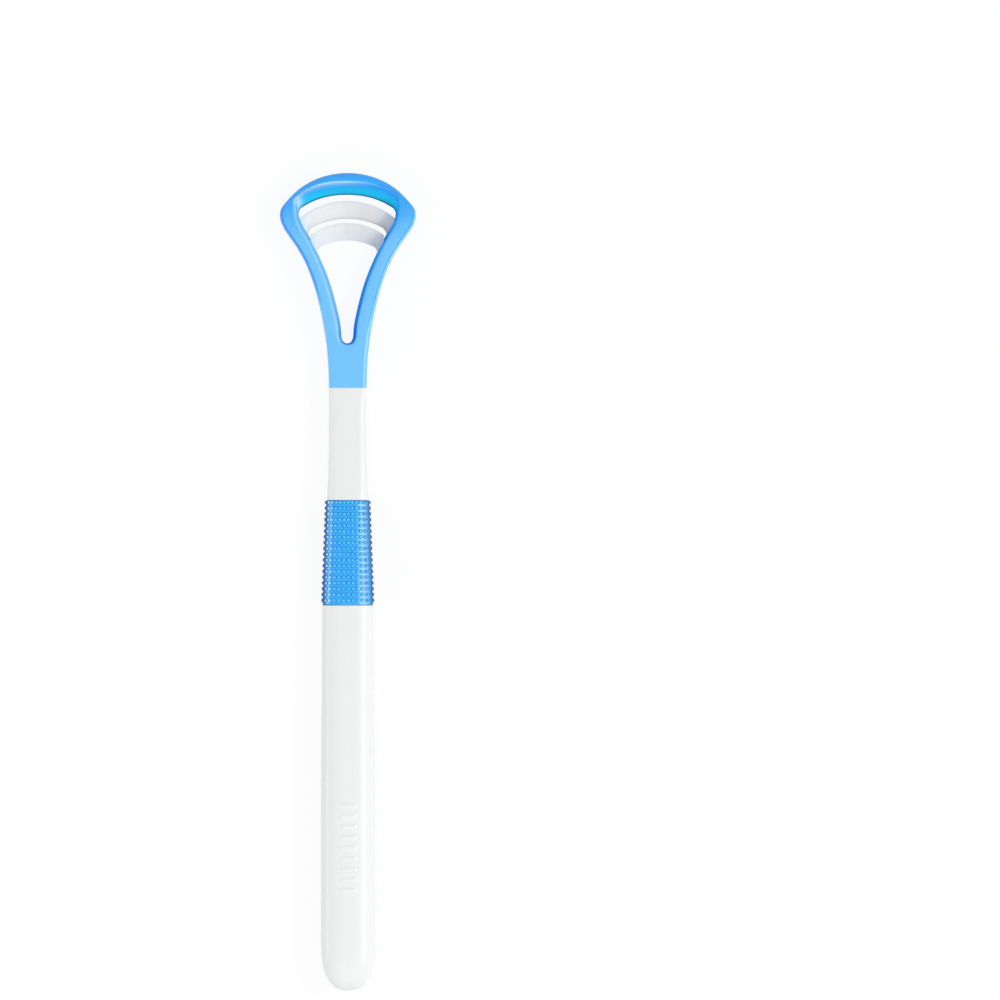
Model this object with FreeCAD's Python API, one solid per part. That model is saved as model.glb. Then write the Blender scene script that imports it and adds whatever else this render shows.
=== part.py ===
import FreeCAD, Part
import math
import os

# A tongue scraper lying on its back. +X runs across the head, +Y along the handle towards the
# head and +Z out of the front face. The origin is the middle of the footprint, on the surface
# that the tool lies on. Lengths are millimetres.

# Lengths along the tool, from the tail to the top of the head
handle_length = 80.1
grip_length = 21.9
neck_length = 23.3
head_length = 44.7

# Handle and neck
handle_width = 11.2
handle_thickness = 8.0
tail_length = 9.4
shoulder_width = 10.6
shoulder_top = 7.4
throat_width = 8.55
throat_top = 6.3
neck_width = 7.75
arch_rise = 0.7

# Raised ribs on the front of the handle
rib_start = 21.0
rib_pitch = 2.2
rib_count = 9
rib_width = 3.6
rib_radius = 0.55
rib_height = 0.22

# Grip sleeve
grip_lower_width = 10.2
grip_upper_width = 8.6
grip_lower_top = 7.2
grip_upper_top = 6.25
grip_lower_bottom = 0.5
grip_upper_bottom = 1.0
sleeve_wall = 1.3

# Tang of the neck inside the collar of the head, and the post that locks it
tang_width = 4.4
tang_thickness = 2.4
tang_length = 6.4
tang_corner = 0.4
post_diameter = 1.8

# Head frame
head_width = 28.14
head_depth = 5.0
crown_height = 8.9
front_rounding = 1.4
back_rounding = 0.8

# Opening in the head, at the back face
web_length = 9.35
slot_width = 2.3
corner_wall = 3.93
bar_width = 4.43
opening_crown = 3.82

# How far the opening grows from the back face to the front face
side_flare = 0.8
foot_flare = 0.84
corner_flare = 1.55
ramp_flare = 2.53

# Scraping blades across the opening
lip_gap = 1.44
blade_height = 3.65
blade_gap = 0.9
upper_radius = 15.4
lower_radius = 12.6
upper_span = 15.6
lower_span = 12.4
root_flare = 1.0
root_depth = 1.2
blade_front = 2.0
blade_recess = 0.2
front_land = 0.5
back_land = 2.0

# Fits and cuts
fit_gap = 0.04
overrun = 0.5

# How full the tail and the rounded corners are: 0.5523 of the way makes a round corner
loft_degree = 3
tail_power = 2.4
bend_share = 0.5523

# Flat share of each side of a section
handle_flat_share = 0.2
grip_flat_share = 0.28
throat_flat_share = 0.4
neck_flat_share = 0.52

# Places along the handle as shares of its stretches
tail_shares = (0.004, 0.03, 0.1, 0.22, 0.42, 0.7)
taper_start_share = 0.5
taper_middle_share = 0.5
post_place_share = 0.55

# Places along the neck: share of its length and share of the narrowing from throat to neck
neck_shares = (
    (0.28, 0.68),
    (0.56, 1.00),
    (0.82, 1.00),
)

# Outline of an arm: sideways share of the flare and share of the way up to the widest place
arm_shares = (
    (0.030, 0.190),
    (0.136, 0.400),
    (0.360, 0.642),
    (0.660, 0.818),
    (0.906, 0.921),
    (0.971, 0.958),
    (1.000, 1.000),
)

# Outline of the crown: share of half the head's width and share of the crown's height
crown_shares = (
    (0.984, 0.157),
    (0.924, 0.292),
    (0.841, 0.438),
    (0.687, 0.652),
    (0.456, 0.854),
    (0.000, 1.000),
)

# Outline of the opening along an arm, and across the top at its back and front faces
inner_arm_shares = (
    (0.018, 0.050),
    (0.118, 0.240),
    (0.272, 0.430),
    (0.487, 0.618),
    (0.757, 0.808),
    (0.938, 0.928),
    (1.000, 1.000),
)
back_crown_shares = (
    (0.969, 0.196),
    (0.873, 0.353),
    (0.598, 0.694),
    (0.000, 1.000),
)
front_crown_shares = (
    (0.968, 0.270),
    (0.904, 0.500),
    (0.530, 0.875),
    (0.000, 1.000),
)
foot_angles = (-90.0, -50.0, -10.0)
steps_per_run = 2

# Places along a blade's edge as shares of half its span, and where its root starts to flare
edge_shares = (0.0, 0.3, 0.6, 0.75, 0.9, 1.05, 1.25, 1.5)
flare_start_share = 0.7

# Places that follow from the sizes above, along Y in the tool's frame
total_length = handle_length + grip_length + neck_length + head_length
tail_y = -total_length / 2
grip_start_y = tail_y + handle_length
grip_end_y = grip_start_y + grip_length
joint_y = grip_end_y + neck_length
top_y = joint_y + head_length
widest_y = top_y - crown_height
lip_y = top_y - bar_width
head_middle_z = head_depth / 2


def vector(x, y, z):
    return FreeCAD.Vector(x, y, z)


def between(first, last, share):
    return first + (last - first) * share


def box(width, start_y, end_y, bottom, top):
    """A block centred on the tool's long axis."""
    return Part.makeBox(width, end_y - start_y, top - bottom, vector(-width / 2, start_y, bottom))


def bend(start, corner, end):
    """A round corner from start to end, tangent to the lines that meet at the corner."""
    curve = Part.BezierCurve()
    curve.setPoles([start, between(start, corner, bend_share), between(end, corner, bend_share), end])
    return curve.toShape()


def section(y, width, bottom, top, front_bend, back_bend):
    """A closed outline across the tool with four flats and four corners.

    Each bend holds the sideways and the upward reach of the corners at that face.
    """
    half = width / 2
    front_x = half - front_bend[0]
    back_x = half - back_bend[0]
    front_z = top - front_bend[1]
    back_z = bottom + back_bend[1]
    corners = (
        (vector(back_x, y, bottom), vector(half, y, bottom), vector(half, y, back_z)),
        (vector(half, y, front_z), vector(half, y, top), vector(front_x, y, top)),
        (vector(-front_x, y, top), vector(-half, y, top), vector(-half, y, front_z)),
        (vector(-half, y, back_z), vector(-half, y, bottom), vector(-back_x, y, bottom)),
    )
    edges = []
    for number, (start, corner, end) in enumerate(corners):
        following = corners[(number + 1) % len(corners)][0]
        edges.append(bend(start, corner, end))
        edges.append(Part.makeLine(end, following))
    return Part.Wire(edges)


def oval(y, width, bottom, top, flat_share):
    """A section whose corners take all but a share of each side."""
    reach = (width / 2 * (1 - flat_share), (top - bottom) / 2 * (1 - flat_share))
    return section(y, width, bottom, top, reach, reach)


def tail_section(share):
    """A section in the rounded tail, at a share of the tail's length."""
    fullness = (1 - (1 - share) ** tail_power) ** (1 / tail_power)
    bottom = handle_thickness / 2 * (1 - fullness)
    y = tail_y + tail_length * share
    return oval(y, handle_width * fullness, bottom, handle_thickness - bottom, handle_flat_share)


def neck_section(share, narrowing_share):
    """A section of the neck, whose underside is arched and whose front runs down to the head."""
    y = grip_end_y + neck_length * share
    width = between(throat_width, neck_width, narrowing_share)
    top = between(throat_top, head_depth, share)
    return oval(y, width, arch_rise * (1 - share ** 2), top, neck_flat_share)


def collar_section():
    """The section at the joint, the same on the neck and on the head's collar."""
    front = (front_rounding, front_rounding)
    back = (back_rounding, back_rounding)
    return section(joint_y, neck_width, 0, head_depth, front, back)


def loft(sections):
    """A smooth solid through sections."""
    return Part.makeLoft(sections, True, False, False, loft_degree)


def handle_body():
    """The handle from its tail to the shoulder below the grip."""
    taper_y = tail_y + handle_length * taper_start_share
    middle_y = between(taper_y, grip_start_y, taper_middle_share)
    middle_width = between(handle_width, shoulder_width, taper_middle_share)
    middle_top = between(handle_thickness, shoulder_top, taper_middle_share)
    tail_end = oval(tail_y + tail_length, handle_width, 0, handle_thickness, handle_flat_share)
    taper_start = oval(taper_y, handle_width, 0, handle_thickness, handle_flat_share)
    middle = oval(middle_y, middle_width, 0, middle_top, handle_flat_share)
    shoulder = oval(grip_start_y, shoulder_width, 0, shoulder_top, grip_flat_share)
    tail = [tail_section(share) for share in tail_shares]
    straight = Part.makeLoft([tail_end, taper_start], True, True)
    return [loft(tail + [tail_end]), straight, loft([taper_start, middle, shoulder])]


def neck_body():
    """The neck from the throat above the grip to the joint with the head."""
    throat = oval(grip_end_y, throat_width, arch_rise, throat_top, throat_flat_share)
    middle = [neck_section(share, narrowing_share) for share, narrowing_share in neck_shares]
    return loft([throat] + middle + [collar_section()])


def grip_section(y, share, inset):
    """A section of the sleeve, a share of the way up it, drawn in all round by an inset."""
    width = between(grip_lower_width, grip_upper_width, share) - 2 * inset
    bottom = between(grip_lower_bottom, grip_upper_bottom, share) + inset
    top = between(grip_lower_top, grip_upper_top, share) - inset
    return oval(y, width, bottom, top, grip_flat_share)


def grip_core(clearance):
    """The waist of the handle inside the sleeve, larger by a clearance all round."""
    inset = sleeve_wall - clearance
    sections = [grip_section(grip_start_y, 0, inset), grip_section(grip_end_y, 1, inset)]
    return Part.makeLoft(sections, True, True)


def tang(clearance):
    """The tang in the collar, larger by a clearance on every side but the neck's."""
    bottom = head_middle_z - tang_thickness / 2 - clearance
    top = head_middle_z + tang_thickness / 2 + clearance
    end_y = joint_y + tang_length + clearance
    block = box(tang_width + 2 * clearance, joint_y - tang_corner, end_y, bottom, top)
    along = [edge for edge in block.Edges if edge.BoundBox.YLength > tang_length]
    return block.makeFillet(tang_corner, along)


def post(diameter):
    """The upright post of the head that passes through the tang."""
    base = vector(0, joint_y + tang_length * post_place_share, 0)
    return Part.makeCylinder(diameter / 2, head_depth, base)


def rib(number):
    """One raised rib across the handle's front: a bar with round ends, mostly sunk."""
    y = tail_y + rib_start + rib_pitch * number
    z = handle_thickness + rib_height - rib_radius
    half_bar = rib_width / 2 - rib_radius
    bar = Part.makeCylinder(rib_radius, 2 * half_bar, vector(-half_bar, y, z), vector(1, 0, 0))
    ends = [Part.makeSphere(rib_radius, vector(x, y, z)) for x in (-half_bar, half_bar)]
    return bar.fuse(ends)


def make_handle():
    key = tang(0).cut(post(post_diameter + 2 * fit_gap))
    ribs = [rib(number) for number in range(rib_count)]
    return grip_core(0).fuse(handle_body() + [neck_body(), key] + ribs).removeSplitter()


def make_grip_sleeve():
    lower = grip_section(grip_start_y + fit_gap, 0, 0)
    upper = grip_section(grip_end_y - fit_gap, 1, 0)
    return Part.makeLoft([lower, upper], True, True).cut(grip_core(fit_gap))


def both_sides(points):
    """Points up the right side, then their mirror images down the left. The last lies between."""
    return points + [vector(-point.x, point.y, point.z) for point in reversed(points[:-1])]


def chord_parameters(points):
    """Where each point lies along the closed path through the points, from 0 to 1."""
    lengths = [0]
    for before, after in zip(points, points[1:] + points[:1]):
        lengths.append(lengths[-1] + before.distanceToPoint(after))
    return [length / lengths[-1] for length in lengths]


def head_plate():
    """The head's full outline as a plate with rounded long edges, before the opening is cut."""
    collar_half = neck_width / 2
    head_half = head_width / 2
    points = [vector(collar_half, joint_y, 0)]
    for side, up in arm_shares:
        points.append(vector(between(collar_half, head_half, side), between(joint_y, widest_y, up), 0))
    for side, up in crown_shares:
        points.append(vector(side * head_half, widest_y + up * crown_height, 0))
    curve = Part.BSplineCurve()
    curve.interpolate(Points=both_sides(points))
    closing = Part.makeLine(vector(-collar_half, joint_y, 0), vector(collar_half, joint_y, 0))
    plate = Part.Face(Part.Wire([curve.toShape(), closing])).extrude(vector(0, 0, head_depth))
    plate = round_long_edges(plate, head_depth, front_rounding)
    return round_long_edges(plate, 0, back_rounding)


def round_long_edges(plate, height, radius):
    """Round a plate's curved edges at one height and leave the joint's straight edge sharp."""
    edges = []
    for edge in plate.Edges:
        bounds = edge.BoundBox
        level = max(abs(bounds.ZMin - height), abs(bounds.ZMax - height)) < fit_gap
        if level and bounds.YMax > joint_y + fit_gap:
            edges.append(edge)
    return plate.makeFillet(radius, edges)


def opening_points(front_share, growth):
    """Half the opening's outline, from its foot to its top, at a share of the way to the front."""
    z = front_share * head_depth
    foot_half = slot_width / 2 + side_flare * front_share + growth
    wide_half = head_width / 2 - corner_wall + side_flare * front_share + growth
    arm_y = joint_y + web_length - foot_flare * front_share - growth + foot_half
    wide_y = lip_y - opening_crown + corner_flare * front_share
    crown = lip_y + ramp_flare * front_share + growth - wide_y
    points = []
    for degrees in foot_angles:
        angle = math.radians(degrees)
        points.append(vector(foot_half * math.cos(angle), arm_y + foot_half * math.sin(angle), z))
    for side, up in inner_arm_shares:
        points.append(vector(between(foot_half, wide_half, side), between(arm_y, wide_y, up), z))
    for back, front in zip(back_crown_shares, front_crown_shares):
        side = between(back[0], front[0], front_share)
        up = between(back[1], front[1], front_share)
        points.append(vector(side * wide_half, wide_y + up * crown, z))
    return points


def opening_outline(front_share, growth):
    """The opening's closed outline at a share of the way to the front, in short smooth runs."""
    parameters = chord_parameters(both_sides(opening_points(0, 0))[:-1])
    points = both_sides(opening_points(front_share, growth))[:-1]
    curve = Part.BSplineCurve()
    curve.interpolate(Points=points, Parameters=parameters, PeriodicFlag=True)
    ends = parameters[::steps_per_run]
    runs = []
    for first, last in zip(ends, ends[1:]):
        run = curve.copy()
        run.segment(first, last)
        runs.append(run.toShape())
    return Part.Wire(runs)


def opening_cut():
    """The opening as a tapered block that runs past both faces of the head."""
    past_share = overrun / head_depth
    outlines = [opening_outline(-past_share, 0), opening_outline(1 + past_share, 0)]
    return Part.makeLoft(outlines, True, True)


def blade_edge(y, z, radius, span, flare):
    """An edge across the opening, arched upwards, that drops further at its roots."""
    points = []
    for share in edge_shares:
        x = share * span / 2
        past = max(0, share - flare_start_share) / (1 - flare_start_share)
        drop = radius - math.sqrt(radius ** 2 - x ** 2) + flare * past ** 2
        points.append(vector(x, y - drop, z))
    points = [vector(-point.x, point.y, point.z) for point in reversed(points[1:])] + points
    shares = [-share for share in reversed(edge_shares[1:])] + list(edge_shares)
    curve = Part.BSplineCurve()
    curve.interpolate(Points=points, Parameters=shares)
    return curve.toShape()


def blade_outline(upper, lower):
    """A closed outline between two edges across the opening."""
    first = Part.makeLine(upper.Vertexes[0].Point, lower.Vertexes[0].Point)
    last = Part.makeLine(upper.Vertexes[-1].Point, lower.Vertexes[-1].Point)
    return Part.Wire([upper, last, lower, first])


def blade(upper_y, radius, span, clearance):
    """A slat that leans from its front top edge down to its scraping edge at the back.

    A clearance grows it all round, and further along Y, so that the leaning faces clear too.
    """
    front_z = blade_front + clearance
    back_z = blade_recess - clearance
    lower_y = upper_y - blade_height
    ease = clearance * (1 + blade_height / (blade_front - blade_recess))
    front = blade_outline(
        blade_edge(upper_y + ease, front_z, radius, span, 0),
        blade_edge(upper_y - front_land - ease, front_z, radius, span, 0))
    back = blade_outline(
        blade_edge(lower_y + back_land + ease, back_z, radius, span, 0),
        blade_edge(lower_y - ease, back_z, radius, span, root_flare))
    slat = Part.makeLoft([front, back], True, True)
    envelope = Part.Face(opening_outline(0, root_depth + clearance)).extrude(vector(0, 0, head_depth))
    return slat.common(envelope)


def upper_blade(clearance):
    return blade(lip_y - lip_gap, upper_radius, upper_span, clearance)


def lower_blade(clearance):
    return blade(lip_y - lip_gap - blade_height - blade_gap, lower_radius, lower_span, clearance)


def make_head_frame():
    socket = tang(fit_gap).cut(post(post_diameter))
    pockets = [upper_blade(fit_gap), lower_blade(fit_gap)]
    return head_plate().cut(opening_cut()).cut(socket).cut(pockets)


def make_upper_blade():
    return upper_blade(0)


def make_lower_blade():
    return lower_blade(0)


def main():
    os.makedirs("parts", exist_ok=True)
    makers = {
        "handle": make_handle,
        "grip_sleeve": make_grip_sleeve,
        "head_frame": make_head_frame,
        "upper_blade": make_upper_blade,
        "lower_blade": make_lower_blade,
    }
    for name, maker in makers.items():
        shape = maker()
        print(name, len(shape.Solids), "solid", shape.isValid(), round(shape.Volume, 2), shape.BoundBox)
        shape.exportStep("parts/" + name + ".step")


if __name__ == "__main__":
    main()
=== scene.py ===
import math

import bmesh
import bpy
import numpy as np
from bpy.props import FloatProperty, FloatVectorProperty, IntProperty, PointerProperty
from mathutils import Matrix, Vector


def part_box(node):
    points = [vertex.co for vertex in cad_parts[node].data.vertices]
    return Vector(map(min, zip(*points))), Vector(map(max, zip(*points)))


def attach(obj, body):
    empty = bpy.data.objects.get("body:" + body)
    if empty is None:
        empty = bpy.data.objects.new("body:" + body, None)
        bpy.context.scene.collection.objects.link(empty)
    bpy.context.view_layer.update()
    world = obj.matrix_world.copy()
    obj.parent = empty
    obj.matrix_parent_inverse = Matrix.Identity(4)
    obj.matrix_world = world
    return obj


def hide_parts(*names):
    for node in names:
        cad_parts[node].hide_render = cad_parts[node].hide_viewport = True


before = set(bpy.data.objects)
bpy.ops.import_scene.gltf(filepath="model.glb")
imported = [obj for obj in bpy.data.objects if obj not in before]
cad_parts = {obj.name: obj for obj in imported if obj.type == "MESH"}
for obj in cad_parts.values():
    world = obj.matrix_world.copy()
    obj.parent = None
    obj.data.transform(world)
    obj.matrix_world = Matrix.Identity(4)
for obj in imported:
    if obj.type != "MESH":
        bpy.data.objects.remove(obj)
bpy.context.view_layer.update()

bl_info = {
    "name": "Tongue Scraper",
    "version": (1, 0, 0),
    "blender": (4, 5, 0),
    "location": "3D View > Sidebar > Scraper",
    "description": "Builds a tongue scraper with two slats and a studded grip on a white stage",
    "category": "Add Mesh",
}

# The tool lies on its back: +X across the head, +Y towards the head, +Z out of the front face
MM = 0.001
BODY = "root"

# Places along the tool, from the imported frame
TAIL_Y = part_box("handle")[0].y
GRIP_START_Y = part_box("grip_sleeve")[0].y
GRIP_END_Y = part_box("grip_sleeve")[1].y
JOINT_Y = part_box("head_frame")[0].y
TOP_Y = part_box("head_frame")[1].y
HEAD_TOP_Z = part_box("head_frame")[1].z

# How far a corner's handles reach towards it: this share makes a round corner
ROUND_SHARE = 0.5523

# Meshes: points this close are joined, corners reach at least this far, sharper edges stay sharp
WELD = 0.002 * MM
MIRROR_WELD = 0.004 * MM
LEAST_REACH = 0.05 * MM
SHARP_DEGREES = 38

# Where the head's blue changes: from light to deep up the tool, and from left to right, where the
# painted light and shade of the left side and the ridge's painted highlight end
DEEPER_Y = (JOINT_Y + 29 * MM, JOINT_Y + 40 * MM)
LEFT_X = (-2.4 * MM, -0.4 * MM)
FADE_X = (-2 * MM, 7 * MM)
GRAIN_DEPTH = 0.02 * MM

# Outline of an arm: sideways share of the flare and share of the way up to the widest place
ARM_SHARES = (
    (0.030, 0.190),
    (0.136, 0.400),
    (0.360, 0.642),
    (0.660, 0.818),
    (0.906, 0.921),
    (0.971, 0.958),
    (1.000, 1.000),
)

# Outline of the crown: share of half the head's width and share of the crown's height
CROWN_SHARES = (
    (0.984, 0.157),
    (0.924, 0.296),
    (0.841, 0.446),
    (0.687, 0.662),
    (0.456, 0.862),
    (0.000, 1.000),
)

# Outline of the opening along an arm and across the top, at its back and at its front
BACK_ARM_SHARES = (
    (0.018, 0.050),
    (0.113, 0.240),
    (0.262, 0.430),
    (0.475, 0.618),
    (0.745, 0.808),
    (0.932, 0.928),
    (1.000, 1.000),
)
BACK_CROWN_SHARES = (
    (0.969, 0.210),
    (0.873, 0.408),
    (0.598, 0.750),
    (0.000, 1.000),
)
FRONT_ARM_SHARES = (
    (0.018, 0.050),
    (0.121, 0.221),
    (0.273, 0.398),
    (0.480, 0.573),
    (0.745, 0.750),
    (0.930, 0.864),
    (0.988, 0.934),
    (1.000, 1.000),
)
FRONT_CROWN_SHARES = (
    (0.978, 0.348),
    (0.878, 0.565),
    (0.560, 0.865),
    (0.000, 1.000),
)
FOOT_ANGLES = (-90.0, -50.0, -10.0)

# The neck: share of its length and share of the narrowing from throat to neck
NECK_SHARES = (
    (0.28, 0.68),
    (0.56, 1.00),
    (0.82, 1.00),
)


def linear(code):
    """Linear red, green and blue of a colour written as six hex digits."""
    values = []
    for start in (0, 2, 4):
        level = int(code[start:start + 2], 16) / 255
        values.append(level / 12.92 if level <= 0.04045 else ((level + 0.055) / 1.055) ** 2.4)
    return tuple(values)


def length(name, description, millimetres):
    """A size property whose default is given in millimetres."""
    return FloatProperty(
        name=name, description=description, default=millimetres * MM,
        min=0.0, unit="LENGTH", subtype="DISTANCE", precision=5)


def share(name, description, default):
    return FloatProperty(
        name=name, description=description, default=default, min=0.0, max=1.0, subtype="FACTOR")


def amount(name, description, default):
    return FloatProperty(name=name, description=description, default=default, min=0.0)


def angle(name, description, degrees):
    """An angle property whose default is given in degrees."""
    return FloatProperty(
        name=name, description=description, default=math.radians(degrees),
        unit="ROTATION", subtype="ANGLE")


def number(name, description, default):
    return IntProperty(name=name, description=description, default=default, min=1)


def colour(name, description, code):
    return FloatVectorProperty(
        name=name, description=description, default=linear(code),
        size=3, min=0.0, max=1.0, subtype="COLOR")


class HandleSizes(bpy.types.PropertyGroup):
    """Sizes of the white handle and neck."""

    width: length("Width", "Width of the handle", 11.2)
    thickness: length("Thickness", "Thickness of the handle", 8.0)
    tail_length: length("Tail length", "Length of the rounded tail", 9.4)
    tail_power: amount("Tail fullness", "Power of the tail's curve; 2 is round", 2.4)
    shoulder_width: length("Shoulder width", "Width where the grip starts", 10.6)
    shoulder_top: length("Shoulder top", "Height of the front where the grip starts", 7.4)
    throat_width: length("Throat width", "Width where the grip ends", 8.55)
    throat_top: length("Throat top", "Height of the front where the grip ends", 6.3)
    neck_width: length("Neck width", "Width at the joint with the head", 7.75)
    arch_rise: length("Arch rise", "How far the underside of the neck is raised", 0.7)
    edge_rounding: length("Edge rounding", "Rounding of the shoulders at the grip", 0.22)
    joint_reach: length("Joint reach", "Width of the front rounding at the joint", 0.95)
    joint_drop: length("Joint drop", "Depth of the front rounding at the joint", 0.6)
    handle_flat: share("Handle flat", "Flat share of the handle's sides", 0.2)
    shoulder_flat: share("Shoulder flat", "Flat share of the sides at the grip", 0.28)
    throat_flat: share("Throat flat", "Flat share of the sides above the grip", 0.4)
    neck_flat: share("Neck flat", "Flat share of the neck's sides", 0.52)
    rib_start: length("Rib start", "Place of the first rib from the tail", 21.0)
    rib_pitch: length("Rib pitch", "Distance from rib to rib", 2.2)
    rib_count: number("Ribs", "Number of raised ribs on the front", 9)
    rib_width: length("Rib width", "Length of a rib across the handle", 3.6)
    rib_radius: length("Rib radius", "Half the width of a rib at its foot", 0.62)
    rib_height: length("Rib height", "Height of a rib", 0.22)


class GripSizes(bpy.types.PropertyGroup):
    """Sizes of the studded grip sleeve."""

    lower_width: length("Lower width", "Width at the handle's end", 10.52)
    upper_width: length("Upper width", "Width at the neck's end", 8.88)
    lower_top: length("Lower top", "Height of the front at the handle's end", 7.2)
    upper_top: length("Upper top", "Height of the front at the neck's end", 6.25)
    lower_bottom: length("Lower bottom", "Height of the back at the handle's end", 0.5)
    upper_bottom: length("Upper bottom", "Height of the back at the neck's end", 1.0)
    wall: length("Wall", "Thickness of the sleeve", 1.3)
    edge_rounding: length("Edge rounding", "Rounding of the sleeve's ends", 0.3)
    flat: share("Flat", "Flat share of the sleeve's sides", 0.1)
    rows: number("Stud rows", "Rows of studs along the sleeve", 18)
    columns: number("Stud columns", "Columns of studs round the sleeve", 28)
    row_pitch: length("Row pitch", "Distance from row to row", 1.196)
    first_row: length("First row", "Distance of the top row from the neck's end", 0.46)
    stud_radius: length("Stud radius", "Half the width of a stud at its foot", 0.43)
    stud_height: length("Stud height", "Height of a stud", 0.32)
    stud_fullness: amount("Stud fullness", "Power of a stud's dome; 2 is round", 3.4)


class HeadSizes(bpy.types.PropertyGroup):
    """Sizes of the blue head frame."""

    width: length("Width", "Width of the head", 28.138)
    crown_height: length("Crown height", "From the widest place to the top", 8.9)
    rim_corner: length("Rim corner", "Rounding between an arm's side and its rim", 0.3)
    rim_width: length("Rim width", "Width of the sloped rim at the collar", 0.56)
    rim_narrowing: share("Rim narrowing", "How much narrower the rim is along the arms", 0.6)
    rim_tilt: angle("Rim tilt", "Slope of the rim along the arms", 22.0)
    rim_ease: length("Rim ease", "Rounding between the rim and the face", 0.15)
    groove_width: length("Groove width", "Width of the line between rim and face", 0.14)
    groove_depth: length("Groove depth", "Depth of the line between rim and face", 0.012)
    face_rise: length("Face rise", "How far the middle of a face stands above its rim", 0.12)
    crown_rounding: length("Crown rounding", "Rounding of the front edge at the top", 1.38)
    back_rounding: length("Back rounding", "Rounding of the back edge", 0.8)
    inner_rounding: length("Inner rounding", "Width of the opening's front rounding", 0.46)
    inner_drop: length("Inner drop", "Depth of the opening's front rounding", 0.22)
    ridge_rounding: length("Ridge rounding", "Rounding of the ridge above the ramp", 0.36)
    lip_rounding: length("Lip rounding", "Rounding of the opening's back edge", 0.22)
    joint_chamfer: length("Joint chamfer", "Chamfer of the collar's end", 0.05)
    web_length: length("Web length", "From the joint to the foot of the opening", 9.35)
    slot_width: length("Slot width", "Width of the opening at its foot", 2.2)
    corner_wall: length("Corner wall", "Width of an arm at the widest place", 4.0)
    bar_width: length("Bar width", "Width of the top bar at the back", 4.5)
    opening_crown: length("Opening crown", "Height of the arched top of the opening", 3.82)
    side_flare: length("Side flare", "How far the arms' inner walls lean back", 0.75)
    foot_flare: length("Foot flare", "How far the foot's wall leans back", 0.5)
    corner_flare: length("Corner flare", "How far the corner rises towards the front", 1.55)
    ramp_flare: length("Ramp flare", "How far the top bar's ramp leans back", 2.42)


class SlatSizes(bpy.types.PropertyGroup):
    """Sizes of the two white slats."""

    lip_gap: length("Lip gap", "Gap between the top bar and the upper slat", 1.2)
    height: length("Height", "Height of a slat", 3.75)
    gap: length("Gap", "Gap between the slats", 0.8)
    upper_radius: length("Upper radius", "Radius of the upper slat's arch", 15.4)
    lower_radius: length("Lower radius", "Radius of the lower slat's arch", 12.6)
    upper_span: length("Upper span", "Width of the upper slat between its roots", 16.3)
    lower_span: length("Lower span", "Width of the lower slat between its roots", 12.5)
    upper_reach: length("Upper reach", "Half the upper slat's length with its roots", 9.75)
    lower_reach: length("Lower reach", "Half the lower slat's length with its roots", 7.6)
    root_flare: length("Root flare", "How far the scraping edge drops at a root", 0.62)
    front: length("Front", "Height of a slat's front edge", 1.8)
    recess: length("Recess", "Height of a slat's scraping edge", 0.5)
    front_land: length("Front land", "Width of the flat on the front edge", 0.5)
    back_land: length("Back land", "Width of the flat on the back", 2.0)
    edge_rounding: length("Edge rounding", "Rounding of a slat's front edge", 0.14)
    tip_rounding: length("Tip rounding", "Rounding of a slat's scraping edge", 0.05)


class Finishes(bpy.types.PropertyGroup):
    """Colours of the four materials."""

    handle: colour("Handle", "White moulded plastic", "f0f2f1")
    # Cooler random patches, and painted shade on the handle's left side, where the lamps light it
    # less
    handle_patches_and_painted_shade: colour("Handle shade", "Cooler patches in the white plastic", "e8ebea")
    slat: colour("Slat", "White plastic of the slats", "f6f5f0")
    # Cooler random patches, and painted shadow on the slats' right ends, where the right arm's
    # shadow falls
    slat_patches_and_painted_shade: colour("Slat shade", "Cooler patches in the slats", "dddcdc")
    grip: colour("Grip", "Blue rubber between the studs", "08acf6")
    # Painted shade round the foot of each stud, where the studs shade one another
    grip_flank_shade: colour("Grip flank", "Blue rubber round the foot of a stud", "087ccc")
    # Painted light: the studs' tops are made lighter, as if lit from above
    grip_tip_light: colour("Grip tip", "Blue rubber on the studs", "3cc2ff")
    # Painted shade on the sleeve's sides and on the studs of the right shoulder
    grip_side_shade: colour("Grip side", "Deeper blue rubber on the sleeve's sides", "064090")
    # Painted highlight: glints on the left shoulder's studs and a sheen band between the right
    # shoulder's studs
    grip_glint: colour("Grip glint", "Pale rubber on the studs of the left shoulder", "c0f0ff")
    head_low: colour("Head low", "Blue plastic near the joint", "74c7ff")
    head_high: colour("Head high", "Blue plastic at the crown", "36abff")
    # Painted shade on the left arm's rim, and a painted dark line of shade beside the right arm's
    # rim
    head_rim_shade: colour("Head rim", "Blue plastic on the left arm's rim", "3a98f2")
    # Painted shade: the deeper blue of the opening's walls, as shaded from the key
    head_wall_shade: colour("Head wall", "Blue plastic deep in the opening", "2ea8ff")
    # Painted light: the left arm's wall, lit by the key from the right
    head_left_wall_light: colour("Head left wall", "Blue plastic on the left arm's wall", "86ceff")
    # Painted light: a lighter cyan low on the ramp, standing in for the light that reaches it
    head_ramp_light: colour("Head ramp", "Blue plastic low on the ramp", "30d4ff")
    # Painted highlight along the ridge above the ramp and on the left arm's inner edge
    head_ridge_highlight: colour("Head ridge", "Blue plastic on the ridge above the ramp", "a8dcff")
    # Painted light: a pool of light in the opening's left corner
    head_corner_light: colour("Head corner", "Thin pale plastic in the opening's corner", "d4f0ff")
    # Painted shade on the lip of the opening, which faces down
    head_lip_shade: colour("Head lip", "Blue plastic on the lip of the opening", "0a7fae")


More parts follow.
